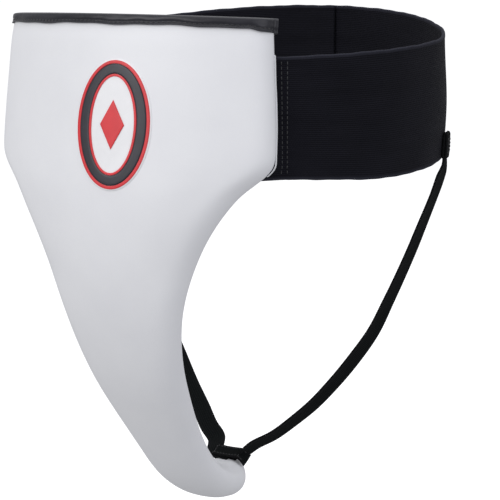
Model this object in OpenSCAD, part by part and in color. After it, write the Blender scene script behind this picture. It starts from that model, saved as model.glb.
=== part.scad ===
// Groin protector: a padded front panel that tapers into a tail and curls under the wearer,
// held by a wide elastic waist belt and by two narrow elastic leg straps.
// +Z is up, the front faces -Y, and the origin is the centre of the waist opening.

/* [Panel] */
// Thickness of the padded panel
panel_t = 22.5; // [20:0.5:24]
// Half width of the panel across its top edge, along its surface
top_half_w = 101.5; // [98:0.5:103]
// Half width of the panel at the hips, where it is widest
hip_half_w = 108; // [106:0.5:109]
// Height of the panel's top edge above the origin
panel_top = 54; // [50:1:58]
// Thickness of the white cover skin
cover_t = 1.2; // [0.8:0.1:1.4]

/* [Inside the panel] */
// Thickness of the front foam
foam_t = 8; // [7:0.5:8]
// Thickness of the hard cup's wall
cup_t = 3; // [2:0.5:3]
// Gap between one layer and the next
layer_gap = 0.3; // [0.2:0.05:0.4]

/* [Waist belt] */
// Height of the elastic belt
belt_h = 80; // [74:1:82]
// Height of the belt where it is sewn to the panel
belt_end_h = 75; // [68:1:76]
// Thickness of the elastic
belt_t = 1.8; // [1.4:0.1:2]

/* [Closure] */
// Length of the closure tab past the centre of the back
tab_len = 66; // [56:1:70]
// Height of the closure tab
tab_h = 56; // [50:1:60]
// Thickness of the tab's elastic
tab_t = 1.6; // [1.2:0.1:1.8]

/* [Leg straps] */
// Width of a leg strap
strap_w = 13; // [11:1:15]
// Thickness of a leg strap
strap_t = 1.6; // [1.2:0.1:1.8]

/* [Badge] */
// Half height of the oval badge
badge_half_h = 40; // [34:1:42]
// Half width of the oval badge
badge_half_w = 25; // [20:1:28]

/* [Hidden] */

// ---- panel profile, seen from the side: a chain of arcs, each [length, turn in degrees] ----
arcs = [[105, 2], [78, 22], [68, 20], [64, 3.5], [46, 29], [41, 60]];
lean = -8;
ease = 7;
step = 2;
panel_y = -124.8;
arc_starts = [for (i = 0, s = 0; i <= len(arcs); s = s + (i < len(arcs) ? arcs[i][0] : 0), i = i + 1) s];
panel_len = arc_starts[len(arcs)];

// Outline and sideways bend along the panel, each [distance from the top edge, value]
half_widths = [
  [0, top_half_w], [84, hip_half_w], [107, 86], [148, 61], [194, 44], [249, 33.5], [308, 25.5], [355, 23.5],
  [402, 13]
];
bends = [[0, 169], [84, 166], [166, 79], [402, 51]];
half_t = panel_t / 2;
edge_round = 16.4;
tail_edge_share = 0.7;
tip_len = 24;
crown = 2.2;
crown_len = 36;

function clamp01(t) = min(max(t, 0), 1);
function smooth(t) = let (u = clamp01(t)) u * u * (3 - 2 * u);

// Monotone cubic through a table of [position, value]
function gap_at(t, i) = t[i + 1][0] - t[i][0];
function slope_at(t, i) = (t[i + 1][1] - t[i][1]) / gap_at(t, i);
function knot_slope(t, i) =
  i == 0 ? slope_at(t, 0) :
  i == len(t) - 1 ? slope_at(t, i - 1) :
  let (a = slope_at(t, i - 1), b = slope_at(t, i), p = gap_at(t, i - 1), q = gap_at(t, i))
  a * b <= 0 ? 0 : (3 * (p + q)) / ((2 * q + p) / a + (q + 2 * p) / b);
function curve(t, x) =
  let (
    k = max([0, for (i = [0 : len(t) - 2]) if (x >= t[i][0]) i]),
    g = gap_at(t, k),
    u = (x - t[k][0]) / g
  )
  u < 0 ? t[0][1] + slope_at(t, 0) * (x - t[0][0]) :
  t[k][1] * (1 + 2 * u) * (1 - u) * (1 - u) + knot_slope(t, k) * g * u * (1 - u) * (1 - u)
  + t[k + 1][1] * u * u * (3 - 2 * u) + knot_slope(t, k + 1) * g * u * u * (u - 1);

// Heading of the profile from straight down, positive towards the wearer
function sum_to(v, n, i = 0) = i >= n ? 0 : v[i] + sum_to(v, n, i + 1);
function turn_in(i, s) = arcs[i][1] * clamp01((s - arc_starts[i]) / arcs[i][0]);
function raw_heading(s) = lean + sum_to([for (i = [0 : len(arcs) - 1]) turn_in(i, s)], len(arcs));
function heading(s) = (raw_heading(s - ease) + raw_heading(s) + raw_heading(s + ease)) / 3;

// The profile's middle line, as [y, z] every step
spine = [
  for (
    i = 0, y = panel_y, z = panel_top;
    i <= panel_len / step;
    y = y + step * sin(heading((i + 0.5) * step)),
    z = z - step * cos(heading((i + 0.5) * step)),
    i = i + 1
  ) [y, z]
];
function spine_at(s) =
  let (k = min(max(floor(s / step), 0), len(spine) - 2), f = s / step - k)
  spine[k] * (1 - f) + spine[k + 1] * f;

// A point of the panel: s down its length, x across it, n out towards the front
function surf(s, x, n) =
  let (
    p = spine_at(s),
    h = heading(s),
    r = curve(bends, s),
    bend = x / r * 180 / PI,
    back = r - (r + n) * cos(bend),
    lift = crown * clamp01(1 - s / crown_len) * pow(x / top_half_w, 2)
  )
  [(r + n) * sin(bend), p[0] + back * cos(h), p[1] + back * sin(h) + lift];

function half_width(s) = curve(half_widths, s);
function round_at(s) = min(edge_round, tail_edge_share * half_width(s));
function flat_at(s) = half_width(s) - round_at(s);
function thick_at(s) = half_t * (0.84 + 0.16 * smooth(s / 16));

// Rows down the panel, each [s, scale]; the scale closes the section over the tip
body_rows = concat([for (s = [10 : 10 : 280]) s], [for (s = [288 : 6 : 372]) s]);
function rows_between(a, b) = [for (q = body_rows) if (q > a + 2 && q < b - 2) q];
function rows(a, b) = [for (s = concat([a], rows_between(a, b), [b])) [s, 1]];
function tip_rows(inset) = [
  for (t = [15, 30, 44, 57, 68, 77, 84]) [panel_len - tip_len + (tip_len - inset) * sin(t), cos(t)]
];

// ---- solids from grids of points ----
function flat_list(g) = [for (r = g) for (p = r) p];
function quad(a, b, c, d) = [[a, b, c], [a, c, d]];

// A sheet between two grids of the same size: front is the outer side, back the inner one
module sheet(front, back) {
  n = len(front);
  m = len(front[0]);
  o = n * m;
  faces = concat(
    [for (i = [0 : n - 2]) for (j = [0 : m - 2])
      for (f = quad(i * m + j, i * m + j + 1, (i + 1) * m + j + 1, (i + 1) * m + j)) f],
    [for (i = [0 : n - 2]) for (j = [0 : m - 2])
      for (f = quad(o + i * m + j, o + (i + 1) * m + j, o + (i + 1) * m + j + 1, o + i * m + j + 1)) f],
    [for (j = [0 : m - 2]) for (f = quad(o + j, o + j + 1, j + 1, j)) f],
    [for (j = [0 : m - 2])
      for (f = quad((n - 1) * m + j, (n - 1) * m + j + 1, o + (n - 1) * m + j + 1, o + (n - 1) * m + j)) f],
    [for (i = [0 : n - 2]) for (f = quad(o + i * m, i * m, (i + 1) * m, o + (i + 1) * m)) f],
    [for (i = [0 : n - 2])
      for (f = quad(i * m + m - 1, o + i * m + m - 1, o + (i + 1) * m + m - 1, (i + 1) * m + m - 1)) f]
  );
  polyhedron(points = concat(flat_list(front), flat_list(back)), faces = faces, convexity = 6);
}

// A closed ring: each section is a loop of points, and the last section meets the first
module closed_ring(sections) {
  n = len(sections);
  m = len(sections[0]);
  faces = [
    for (i = [0 : n - 1]) for (k = [0 : m - 1])
      for (f = quad(i * m + k, i * m + (k + 1) % m, ((i + 1) % n) * m + (k + 1) % m, ((i + 1) % n) * m + k)) f
  ];
  polyhedron(points = flat_list(sections), faces = faces, convexity = 4);
}

// ---- the panel's layers ----
front_cols = 12;
edge_angles = [-90, -65, -42, -20, 0, 20, 42, 65, 90];

// Columns across the flat part, as shares of its half width
flat_shares = [for (j = [0 : front_cols]) 2 * j / front_cols - 1];

// How much of the back the cover's turned edges leave open, as a share of the flat half width
function back_gap(s) = 0.86 - 0.84 * smooth((s - 332) / 24);

// The cover's section at an inset: from the back's left edge, round the front, to the back's right edge
function cover_row(s, k, inset) =
  let (
    f = flat_at(s) * k,
    e = (round_at(s) - inset) * k,
    t = (thick_at(s) - inset) * k,
    open = flat_at(s) * k * back_gap(s)
  )
  concat(
    [surf(s, -open, -t)],
    [for (a = edge_angles) surf(s, -f - e * cos(a), t * sin(a))],
    [for (j = [1 : front_cols - 1]) surf(s, f * flat_shares[j], t)],
    [for (i = [len(edge_angles) - 1 : -1 : 0]) surf(s, f + e * cos(edge_angles[i]), t * sin(edge_angles[i]))],
    [surf(s, open, -t)]
  );
function cover_grid(inset) =
  [for (r = concat(rows(0, panel_len - tip_len), tip_rows(inset))) cover_row(r[0], r[1], inset)];

module front_cover() {
  color("white") sheet(cover_grid(0), cover_grid(cover_t));
}

core_inset = cover_t + layer_gap;

// Half width of the panel's hollow at a depth n from its middle
function core_reach(s, n) =
  flat_at(s) + (round_at(s) - core_inset) * sqrt(1 - pow(n / (thick_at(s) - core_inset), 2));
// A depth n, held inside the hollow where the panel thins towards its top edge
function core_depth(s, n) = let (most = thick_at(s) - core_inset - 0.4) min(max(n, -most), most);
function core_row(s, n) =
  let (d = core_depth(s, n), reach = core_reach(s, d))
  concat([surf(s, -reach, d)], [for (u = flat_shares) surf(s, flat_at(s) * u, d)], [surf(s, reach, d)]);

// A layer of the core that fills the hollow from side to side
module core_layer(s0, s1, front_n, back_n) {
  list = rows(s0, s1);
  sheet([for (r = list) core_row(r[0], front_n)], [for (r = list) core_row(r[0], back_n)]);
}

foam_front = half_t - core_inset - 0.2;
foam_back = foam_front - foam_t;
cup_front = foam_back - layer_gap;
cup_back = cup_front - cup_t;
liner_front = cup_back - layer_gap;
liner_back = core_inset + 0.3 - half_t;
foam_top = 2;
cup_top = 112;
cup_bottom = 318;
tail_top = 352;

module impact_foam() {
  color("lightyellow") core_layer(foam_top, tail_top - 4, foam_front, foam_back);
}
module abdomen_pad() {
  color("khaki") core_layer(foam_top, cup_top - 4, foam_back - layer_gap, liner_back);
}

// A plate narrower than the hollow, such as the hard cup
function plate_row(s, n, half) = [for (u = flat_shares) surf(s, half * u, n)];
module plate(s0, s1, front_n, back_n, margin) {
  list = rows(s0, s1);
  span = (s1 - s0) / 2;
  half = [
    for (r = list)
      let (t = (r[0] - s0 - span) / span) (flat_at(r[0]) - margin) * sqrt(max(0.08, 1 - pow(abs(t), 6)))
  ];
  sheet(
    [for (i = [0 : len(list) - 1]) plate_row(list[i][0], front_n, half[i])],
    [for (i = [0 : len(list) - 1]) plate_row(list[i][0], back_n, half[i])]
  );
}
module hard_cup() {
  color("gainsboro") plate(cup_top, cup_bottom, cup_front, cup_back, 0.5);
}
module cup_liner() {
  color("khaki") core_layer(cup_top, tail_top - 4, liner_front, liner_back);
}

// The firm core of the curled tip
tail_shares = [-0.96, -0.8, -0.6, -0.3, 0, 0.3, 0.6, 0.8, 0.96];
function tail_row(r, side) =
  let (
    f = flat_at(r[0]) * r[1],
    e = (round_at(r[0]) - core_inset) * r[1],
    t = (thick_at(r[0]) - core_inset - 0.3) * r[1]
  )
  [for (u = tail_shares)
    let (x = u * (f + e), q = clamp01((abs(x) - f) / e)) surf(r[0], x, side * t * sqrt(1 - q * q))];
module tail_pad() {
  list = concat(rows(tail_top, panel_len - tip_len), tip_rows(core_inset + 0.3));
  color("khaki") sheet([for (r = list) tail_row(r, 1)], [for (r = list) tail_row(r, -1)]);
}

lining_t = 1;
lining_inset = 0.15;
lining_top = 1;
lining_bottom = 330;
function lining_row(s, inset) =
  let (half = flat_at(s) * back_gap(s) - 0.5) [for (u = flat_shares) surf(s, half * u, inset - thick_at(s))];
module back_lining() {
  list = rows(lining_top, lining_bottom);
  color("#202022") sheet(
    [for (r = list) lining_row(r[0], lining_inset + lining_t)],
    [for (r = list) lining_row(r[0], lining_inset)]
  );
}

// ---- the binding folded over the top edge ----
binding_t = 1;
binding_flap = 5;
binding_overhang = 2.5;
binding_clear = 0.4;
binding_fold = [
  [binding_flap, 1], [2, 1], [-0.3, 1], [-0.9, 0.85], [-1.3, 0.45], [-1.4, 0],
  [-1.3, -0.45], [-0.9, -0.85], [-0.3, -1], [2, -1], [binding_flap, -1]
];
binding_x = concat([-1, -0.985, -0.95, -0.9], [for (j = [0 : 12]) 0.84 * (j / 6 - 1)], [0.9, 0.95, 0.985, 1]);
// Half thickness of the panel at x, where its edge is rounded
function edge_t(s, x) = thick_at(s) * sqrt(1 - pow(clamp01((abs(x) - flat_at(s)) / round_at(s)), 2));
function binding_point(fold, x, out) =
  let (half = max(edge_t(max(fold[0], 0), x), 1) + binding_clear + out)
  surf(fold[0] - (abs(fold[1]) < 1 ? out : 0), x, fold[1] * half);
module binding(out) {
  reach = top_half_w + binding_overhang;
  sheet(
    [for (f = binding_fold) [for (u = binding_x) binding_point(f, u * reach, out)]],
    [for (f = binding_fold) [for (u = binding_x) binding_point(f, u * reach, 0)]]
  );
}
module top_binding() {
  color("#1c1d22") binding(binding_t);
}

// ---- the waist belt: a side arc and a rear arc on each side ----
seam_heading = 34.2;
rear_heading = 124;
side_r = 115.6;
side_centre = [33.4, 1.8];
seam_at = side_centre + side_r * [sin(seam_heading), -cos(seam_heading)];
rear_r = (side_centre[0] + side_r * sin(rear_heading)) / sin(rear_heading);
rear_centre = side_centre + (side_r - rear_r) * [sin(rear_heading), -cos(rear_heading)];
// Gap between two pieces that are sewn face to face
sewn_gap = 0.15;
// Half the gap where the belt's two halves meet at the back
rear_gap = 0.3;
// Height of the belt's top edge as [y, z], for a belt line_h high
belt_line = [[-96, 31], [-20, 35.4], [25, 38.6], [75, 44.8], [137, 55.5]];
mid_off = belt_t / 2;
line_h = 80;
taper_len = 82;

// Plan position at a heading of the belt, off its inner face
function belt_xy(h, off) =
  let (
    side = h < rear_heading,
    c = side ? side_centre : rear_centre,
    r = (side ? side_r : rear_r) + off - mid_off
  )
  c + r * [sin(h), -cos(h)];
function belt_top(h) = curve(belt_line, belt_xy(h, 0)[1]) - (line_h - belt_h) / 2;
function belt_height(h) =
  belt_end_h + (belt_h - belt_end_h) * smooth((h - seam_heading) * PI / 180 * side_r / taper_len);
function belt_point(h, off, z) = let (p = belt_xy(h, off)) [p[0], p[1], z];
// A patch of the belt: headings, offsets of its two faces, and drops of its edges below the belt's top
module band(headings, inner, outer, drop_top, drop_bottom) {
  drops = [drop_top, drop_bottom];
  sheet(
    [for (drop = drops) [for (h = headings) belt_point(h, outer, belt_top(h) - drop)]],
    [for (drop = drops) [for (h = headings) belt_point(h, inner, belt_top(h) - drop)]]
  );
}
function heading_back(u) = 180 - u / rear_r * 180 / PI;
seam_gap = 0.7;
belt_start = seam_heading + seam_gap / side_r * 180 / PI;
belt_headings = concat(
  [belt_start],
  [for (h = [40 : 6 : 118]) h],
  [rear_heading],
  [for (h = [130 : 6 : 172]) h],
  [heading_back(rear_gap)]
);
module belt_half() {
  color("#17181c") sheet(
    [for (q = [0, 1]) [for (h = belt_headings) belt_point(h, belt_t, belt_top(h) - q * belt_height(h))]],
    [for (q = [0, 1]) [for (h = belt_headings) belt_point(h, 0, belt_top(h) - q * belt_height(h))]]
  );
}
module belt_right() {
  belt_half();
}
module belt_left() {
  mirror([1, 0, 0]) belt_half();
}

// White tape that joins the belt's end to the panel's side edge
tape_t = 1.2;
tape_gap = 0.5;
tape_angle = -30;
tape_clear = 1;
function tape_root(s) =
  surf(
    s,
    flat_at(s) + (round_at(s) + tape_clear) * cos(tape_angle),
    (thick_at(s) + tape_clear) * sin(tape_angle)
  );
function tape_dir(p) = let (d = [seam_at[0] - p[0], seam_at[1] - p[1]]) d / norm(d);
function tape_side(s, side) =
  let (p = tape_root(s), d = tape_dir(p), w = [d[1], -d[0]] * side * tape_t / 2, e = seam_at - d * tape_gap)
  [[p[0] + w[0], p[1] + w[1], p[2]], [e[0] + w[0], e[1] + w[1], p[2]]];
module seam_tape() {
  list = [24, 34, 44, 54, 64, 74, 84];
  color("white") sheet([for (s = list) tape_side(s, 1)], [for (s = list) tape_side(s, -1)]);
}
module seam_tape_right() {
  seam_tape();
}
module seam_tape_left() {
  mirror([1, 0, 0]) seam_tape();
}

// ---- leg straps ----
anchor_heading = 108;
anchor_half = strap_w / 2 / (side_r + 2) * 180 / PI;
anchor_headings = [for (t = [-1, -0.5, 0, 0.5, 1]) anchor_heading + anchor_half * t];
anchor_off = belt_t + 0.35;
fold_h = 17;
fold_t = 2.75;
fold_lift = 0.4;
anchor_bottom = belt_top(anchor_heading) - belt_h;
module strap_end() {
  color("#141416") band(
    anchor_headings, belt_t + sewn_gap, belt_t + sewn_gap + fold_t, belt_h - fold_h, belt_h - fold_lift
  );
}
module strap_end_right() {
  strap_end();
}
module strap_end_left() {
  mirror([1, 0, 0]) strap_end();
}

// The tip loop lies across the inner face of the curled tip
loop_s = 391;
loop_half = 14;
loop_t = 1.6;
loop_clear = 0.4;
strap_gap = 2.4;
function tip_scale(s) = sqrt(max(0, 1 - pow(max(0, s - panel_len + tip_len) / tip_len, 2)));
function loop_n(s, out) = -thick_at(s) * tip_scale(s) - loop_clear - out;
module tip_loop() {
  list = [for (t = [-1, -0.5, 0, 0.5, 1]) loop_s - 1 + strap_w / 2 * t];
  across = [for (t = [-1 : 0.25 : 1]) loop_half * t];
  color("#141416") sheet(
    [for (s = list) [for (x = across) surf(s, x, loop_n(s, 0))]],
    [for (s = list) [for (x = across) surf(s, x, loop_n(s, loop_t))]]
  );
}

// The strap's middle line, from the belt down to the tip loop
strap_first = let (p = belt_xy(anchor_heading, anchor_off + strap_t / 2)) [p[0], p[1], anchor_bottom - 0.2];
strap_last = surf(loop_s - 1, loop_half + strap_gap, loop_n(loop_s - 1, loop_t / 2));
strap_route = concat(
  [strap_first],
  [
    [142.5, 39, -53], [137, 42, -65], [130, 45, -80], [122, 47, -97], [112, 49, -117], [101, 49.5, -141],
    [91, 48, -162], [78, 45, -182], [65.5, 40.5, -200], [52.5, 34.5, -216], [38, 27, -230], [27, 20, -240]
  ],
  [strap_last]
);
strap_top_dir = [cos(anchor_heading), sin(anchor_heading), 0];
strap_mid_dir = [0.33, 0.93, -0.18];
strap_end_dir = [-0.05, 0.9, -0.4];
strap_steps = 3;
function unit(v) = v / norm(v);
function route_at(p, k) = p[min(max(k, 0), len(p) - 1)];
// Catmull-Rom point at segment k, share t
function spline(p, k, t) =
  let (a = route_at(p, k - 1), b = route_at(p, k), c = route_at(p, k + 1), d = route_at(p, k + 2))
  0.5 * (2 * b + (c - a) * t + (2 * a - 5 * b + 4 * c - d) * t * t + (3 * b - a - 3 * c + d) * t * t * t);
strap_line = concat(
  [for (k = [0 : len(strap_route) - 2]) for (t = [0 : strap_steps - 1])
    spline(strap_route, k, t / strap_steps)],
  [strap_last]
);
function strap_way(i) = unit(route_at(strap_line, i + 1) - route_at(strap_line, i - 1));
function strap_side(i) =
  let (
    u = i / (len(strap_line) - 1),
    w = u < 0.6 ? strap_top_dir + (strap_mid_dir - strap_top_dir) * smooth(u / 0.6)
      : strap_mid_dir + (strap_end_dir - strap_mid_dir) * smooth((u - 0.6) / 0.4),
    t = strap_way(i)
  )
  unit(w - t * (w * t));
function strap_edge(i, side, out) =
  let (w = strap_side(i), n = cross(strap_way(i), w))
  strap_line[i] + w * side * strap_w / 2 + n * out * strap_t / 2;
module leg_strap() {
  ids = [0 : len(strap_line) - 1];
  color("#141416") sheet(
    [for (i = ids) [strap_edge(i, -1, 1), strap_edge(i, 1, 1)]],
    [for (i = ids) [strap_edge(i, -1, -1), strap_edge(i, 1, -1)]]
  );
}
module leg_strap_right() {
  leg_strap();
}
module leg_strap_left() {
  mirror([1, 0, 0]) leg_strap();
}

// ---- the rear closure ----
tab_top = (belt_h - tab_h) / 2;
tab_bottom = tab_top + tab_h;
patch_t = 1;
base_t = 1.6;
open_gap = 0.3;
grip_proud = 0.4;
loop_off = belt_t + sewn_gap;
hook_off = loop_off + patch_t + open_gap;
tab_off = hook_off + patch_t + sewn_gap;
function back_headings(u0, u1) = [for (t = [0 : 6]) heading_back(u0 + (u1 - u0) * t / 6)];
module tab_base() {
  color("#141416") band(back_headings(-1.3, -30), loop_off, loop_off + base_t, tab_top, tab_bottom);
}
module loop_patch() {
  color("#101012") band(back_headings(tab_len, 5), loop_off, loop_off + patch_t, tab_top + 2, tab_bottom - 2);
}
module hook_patch() {
  color("#1d1d20") band(
    back_headings(tab_len - 6, 7), hook_off, hook_off + patch_t, tab_top + 3, tab_bottom - 3
  );
}
module closure_tab() {
  color("#17181c") band(back_headings(tab_len - 0.5, 0.7), tab_off, tab_off + tab_t, tab_top, tab_bottom);
}
module tab_grip() {
  color("#1c1d22") band(
    back_headings(tab_len + 6, tab_len),
    tab_off - grip_proud, tab_off + tab_t + grip_proud, tab_top, tab_bottom
  );
}

// ---- the badge: an oval plate with rings and a diamond ----
badge_s = 66;
badge_x = 10;
badge_facets = 40;
plate_t = 0.6;
trim_t = 0.5;
badge_low = half_t + 0.05;
badge_high = badge_low + plate_t + 0.05;
function badge_point(v, u, n) = surf(badge_s + v, badge_x + u, n);
module badge_base() {
  vs = [for (a = [-80 : 16 : 80]) sin(a)];
  us = [for (j = [-4 : 4]) j / 4];
  color("white") sheet(
    [for (v = vs) [for (u = us)
      badge_point(v * badge_half_h, u * badge_half_w * sqrt(1 - v * v), badge_low + plate_t)]],
    [for (v = vs) [for (u = us) badge_point(v * badge_half_h, u * badge_half_w * sqrt(1 - v * v), badge_low)]]
  );
}
// An oval ring between two insets from the badge's rim
module badge_band(outer, inner) {
  closed_ring([
    for (i = [0 : badge_facets - 1])
      let (a = 360 * i / badge_facets, c = cos(a), s = sin(a))
      [
        badge_point(-(badge_half_h - outer) * c, (badge_half_w - outer) * s, badge_high),
        badge_point(-(badge_half_h - outer) * c, (badge_half_w - outer) * s, badge_high + trim_t),
        badge_point(-(badge_half_h - inner) * c, (badge_half_w - inner) * s, badge_high + trim_t),
        badge_point(-(badge_half_h - inner) * c, (badge_half_w - inner) * s, badge_high)
      ]
  ]);
}
module badge_outline() {
  color("#d8222a") badge_band(1, 3);
}
module badge_ring() {
  color("#1d1b22") badge_band(3.1, 9.2);
}
module badge_inner_line() {
  color("#d8222a") badge_band(9.3, 10.8);
}
module badge_diamond() {
  vs = [-0.96, -0.5, 0, 0.5, 0.96];
  us = [-1, 0, 1];
  color("#d8222a") sheet(
    [for (v = vs) [for (u = us) badge_point(v * 15, u * 8 * (1 - abs(v)), badge_high + trim_t)]],
    [for (v = vs) [for (u = us) badge_point(v * 15, u * 8 * (1 - abs(v)), badge_high)]]
  );
}

front_cover();
impact_foam();
abdomen_pad();
hard_cup();
cup_liner();
tail_pad();
back_lining();
top_binding();
seam_tape_left();
seam_tape_right();
tip_loop();
leg_strap_left();
leg_strap_right();
badge_base();
badge_outline();
badge_ring();
badge_inner_line();
badge_diamond();
belt_left();
strap_end_left();
tab_base();
belt_right();
strap_end_right();
loop_patch();
closure_tab();
hook_patch();
tab_grip();
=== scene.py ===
"""A groin protector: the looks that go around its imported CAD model.

The panel is a padded white cover with a black folded binding, a fabric lining and an oval badge.
Two halves of a wide elastic belt, two ribbed leg straps and a rear closure tab hang from it.
Lengths are in millimetres in the part's own frame, and a mesh is scaled to metres when it is made.
"""

import math

import bpy
import bmesh
import numpy as np
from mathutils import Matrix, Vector
from mathutils.bvhtree import BVHTree


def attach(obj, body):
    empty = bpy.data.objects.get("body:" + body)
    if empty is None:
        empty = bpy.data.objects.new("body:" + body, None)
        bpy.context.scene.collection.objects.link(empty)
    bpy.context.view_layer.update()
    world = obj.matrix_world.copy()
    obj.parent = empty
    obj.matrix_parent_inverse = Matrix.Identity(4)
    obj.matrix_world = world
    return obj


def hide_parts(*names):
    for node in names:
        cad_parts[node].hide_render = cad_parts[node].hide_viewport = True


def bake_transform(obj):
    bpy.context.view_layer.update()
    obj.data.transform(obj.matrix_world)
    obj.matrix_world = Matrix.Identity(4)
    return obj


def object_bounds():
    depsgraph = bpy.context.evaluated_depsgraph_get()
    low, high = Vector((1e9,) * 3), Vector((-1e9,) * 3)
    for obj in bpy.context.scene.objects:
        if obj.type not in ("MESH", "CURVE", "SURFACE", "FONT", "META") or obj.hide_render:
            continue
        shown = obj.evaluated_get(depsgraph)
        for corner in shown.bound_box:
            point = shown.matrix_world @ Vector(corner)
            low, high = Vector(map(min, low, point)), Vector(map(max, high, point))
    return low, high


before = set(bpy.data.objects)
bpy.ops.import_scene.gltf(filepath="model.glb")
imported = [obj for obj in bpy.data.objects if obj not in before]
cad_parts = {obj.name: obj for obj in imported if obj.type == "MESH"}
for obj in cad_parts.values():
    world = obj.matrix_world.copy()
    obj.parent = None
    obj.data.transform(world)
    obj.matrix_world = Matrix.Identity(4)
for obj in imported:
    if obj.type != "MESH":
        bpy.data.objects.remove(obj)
cad_low, cad_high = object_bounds()

MM = 0.001

# ---- the panel: a chain of arcs seen from the side, each (length, turn in degrees) ----
ARCS = ((105, 2), (78, 22), (68, 20), (64, 3.5), (46, 29), (41, 60))
LEAN = -8
EASE = 7
STEP = 2
PANEL_LEN = sum(length for length, turn in ARCS)
PANEL_Y = -124.8
PANEL_TOP = 54
HALF_T = 11.25
EDGE_ROUND = 16.4
TAIL_EDGE_SHARE = 0.7
TIP_LEN = 24
CROWN = 2.2
CROWN_LEN = 36
TOP_HALF_W = 101.5
# Half width and sideways bend along the panel, each (distance from the top edge, value)
HALF_WIDTHS = (
    (0, TOP_HALF_W), (84, 108), (107, 86), (148, 61), (194, 44), (249, 33.5), (308, 25.5), (355, 23.5),
    (402, 13),
)
BENDS = ((0, 169), (84, 166), (166, 79), (402, 51))

# ---- the belt: a side arc and a rear arc on each side, in plan ----
SEAM_HEADING = 34.2
REAR_HEADING = 124
SIDE_R = 115.6
SIDE_CENTRE = np.array([33.4, 1.8])
BELT_H = 80
BELT_END_H = 75
BELT_T = 1.8
TAPER_LEN = 82
REAR_GAP = 0.3
SEWN_GAP = 0.15
# Height of the belt's top edge, as (y, z)
BELT_LINE = ((-96, 31), (-20, 35.4), (25, 38.6), (75, 44.8), (137, 55.5))

# ---- the closure, the straps and the badge ----
TAB_LEN = 66
TAB_H = 56
TAB_T = 1.6
PATCH_T = 1
STRAP_W = 13
STRAP_T = 1.6
ANCHOR_HEADING = 108
FOLD_H = 17
BADGE_S = 66
BADGE_X = 10
BADGE_HALF_H = 40
BADGE_HALF_W = 25
STRAP_ROUTE = (
    (142.5, 39, -53), (137, 42, -65), (130, 45, -80), (122, 47, -97), (112, 49, -117), (101, 49.5, -141),
    (91, 48, -162), (78, 45, -182), (65.5, 40.5, -200), (52.5, 34.5, -216), (38, 27, -230), (27, 20, -240),
)

SIDES = {"right": 1, "left": -1}


# ======== shape functions ========


def smooth(t):
    u = np.clip(t, 0, 1)
    return u * u * (3 - 2 * u)


def curve(table, x):
    """Monotone cubic through a table of (position, value)."""
    t = np.asarray(table, float)
    gap = np.diff(t[:, 0])
    slope = np.diff(t[:, 1]) / gap
    knot = np.concatenate([slope[:1], np.zeros(len(gap) - 1), slope[-1:]])
    for i in range(1, len(gap)):
        a, b, p, q = slope[i - 1], slope[i], gap[i - 1], gap[i]
        knot[i] = 0 if a * b <= 0 else 3 * (p + q) / ((2 * q + p) / a + (q + 2 * p) / b)
    x = np.asarray(x, float)
    k = np.clip(np.searchsorted(t[:, 0], x, side="right") - 1, 0, len(gap) - 1)
    g = gap[k]
    u = (x - t[k, 0]) / g
    v = 1 - u
    inside = t[k, 1] * (1 + 2 * u) * v * v + knot[k] * g * u * v * v
    inside = inside + t[k + 1, 1] * u * u * (3 - 2 * u) + knot[k + 1] * g * u * u * (u - 1)
    return np.where(u < 0, t[0, 1] + slope[0] * (x - t[0, 0]), inside)


def heading(s):
    """Heading of the panel's profile in radians from straight down, positive towards the wearer."""
    total = 0
    for ease in (-EASE, 0, EASE):
        start = 0
        for length, turn in ARCS:
            total = total + turn * np.clip((np.asarray(s, float) + ease - start) / length, 0, 1)
            start += length
    return np.radians(LEAN + total / 3)


def make_spine():
    mid = heading((np.arange(PANEL_LEN // STEP) + 0.5) * STEP)
    y = PANEL_Y + np.concatenate([[0], np.cumsum(STEP * np.sin(mid))])
    z = PANEL_TOP - np.concatenate([[0], np.cumsum(STEP * np.cos(mid))])
    return y, z


SPINE_Y, SPINE_Z = make_spine()


def surf(s, x, n):
    """A point of the panel: s down its length, x across it, n out towards the front."""
    s, x, n = np.broadcast_arrays(np.asarray(s, float), np.asarray(x, float), np.asarray(n, float))
    k = np.clip(np.floor(s / STEP).astype(int), 0, len(SPINE_Y) - 2)
    f = s / STEP - k
    h = heading(s)
    r = curve(BENDS, s)
    back = r - (r + n) * np.cos(x / r)
    lift = CROWN * np.clip(1 - s / CROWN_LEN, 0, 1) * (x / TOP_HALF_W) ** 2
    y = SPINE_Y[k] * (1 - f) + SPINE_Y[k + 1] * f + back * np.cos(h)
    z = SPINE_Z[k] * (1 - f) + SPINE_Z[k + 1] * f + back * np.sin(h) + lift
    return np.stack([(r + n) * np.sin(x / r), y, z], -1)


def half_width(s):
    return curve(HALF_WIDTHS, s)


def round_at(s):
    return np.minimum(EDGE_ROUND, TAIL_EDGE_SHARE * half_width(s))


def flat_at(s):
    return half_width(s) - round_at(s)


def thick_at(s):
    return HALF_T * (0.84 + 0.16 * smooth(np.asarray(s) / 16))


def back_gap(s):
    """The share of the back's flat half width that the cover's turned edges leave open."""
    return 0.86 - 0.86 * smooth((np.asarray(s) - 332) / 24)


def edge_point(s, degrees, out=0.0):
    """A point on the panel's rounded side: 90 is the front face, 0 the outermost line, -90 the back face."""
    a = np.radians(degrees)
    x = flat_at(s) + (round_at(s) + out) * np.cos(a)
    return surf(s, x, (thick_at(s) + out) * np.sin(a))


REAR_RAD = math.radians(REAR_HEADING)
REAR_R = (SIDE_CENTRE[0] + SIDE_R * math.sin(REAR_RAD)) / math.sin(REAR_RAD)
REAR_CENTRE = SIDE_CENTRE + (SIDE_R - REAR_R) * np.array([math.sin(REAR_RAD), -math.cos(REAR_RAD)])
SIDE_LEN = SIDE_R * math.radians(REAR_HEADING - SEAM_HEADING)
BELT_LEN = SIDE_LEN + REAR_R * math.radians(180 - REAR_HEADING) - REAR_GAP
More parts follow.
